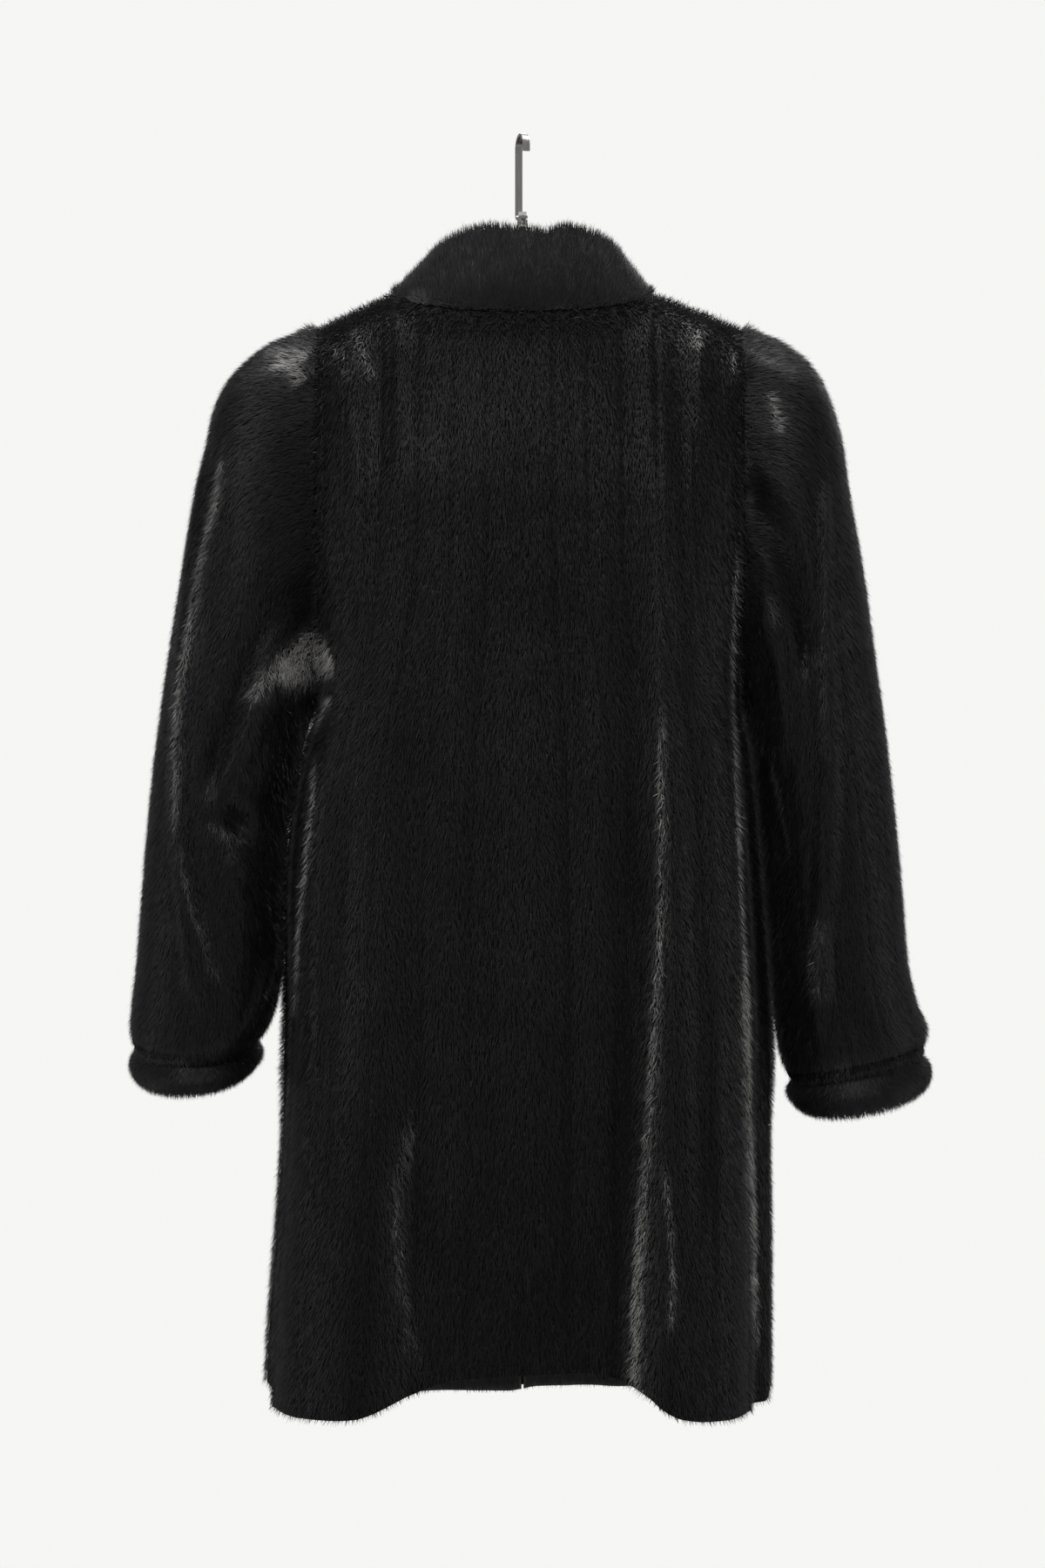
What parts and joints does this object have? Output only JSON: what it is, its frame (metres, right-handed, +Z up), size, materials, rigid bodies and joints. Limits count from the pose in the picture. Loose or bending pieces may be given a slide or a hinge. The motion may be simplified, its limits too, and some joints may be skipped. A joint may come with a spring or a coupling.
{
  "type": "fur coat on a hanger",
  "caption": "Three-quarter-length dark fur coat with a stand collar and puffed sleeves gathered into cuffs, shut and hanging from a wooden hanger with a flat steel hook.",
  "frame": {"origin": "inside of the hook's crown, where it rests on a rail", "axes": "+X the wearer's right, +Y the wearer's front, +Z up"},
  "size_m": [0.645, 0.2692, 1.0333],
  "materials": {
    "fur": "glossy short fur",
    "wood": "varnished",
    "steel": "bright"
  },
  "bodies": {
    "root": {"back": "fur", "front_left": "fur", "front_right": "fur", "sleeve_left": "fur", "sleeve_right": "fur", "cuff_left": "fur", "cuff_right": "fur", "collar": "fur", "hanger_bow": "wood", "hanger_hook": "steel", "hanger_nut": "steel", "hanger_ferrule": "steel"}
  },
  "joints": []
}
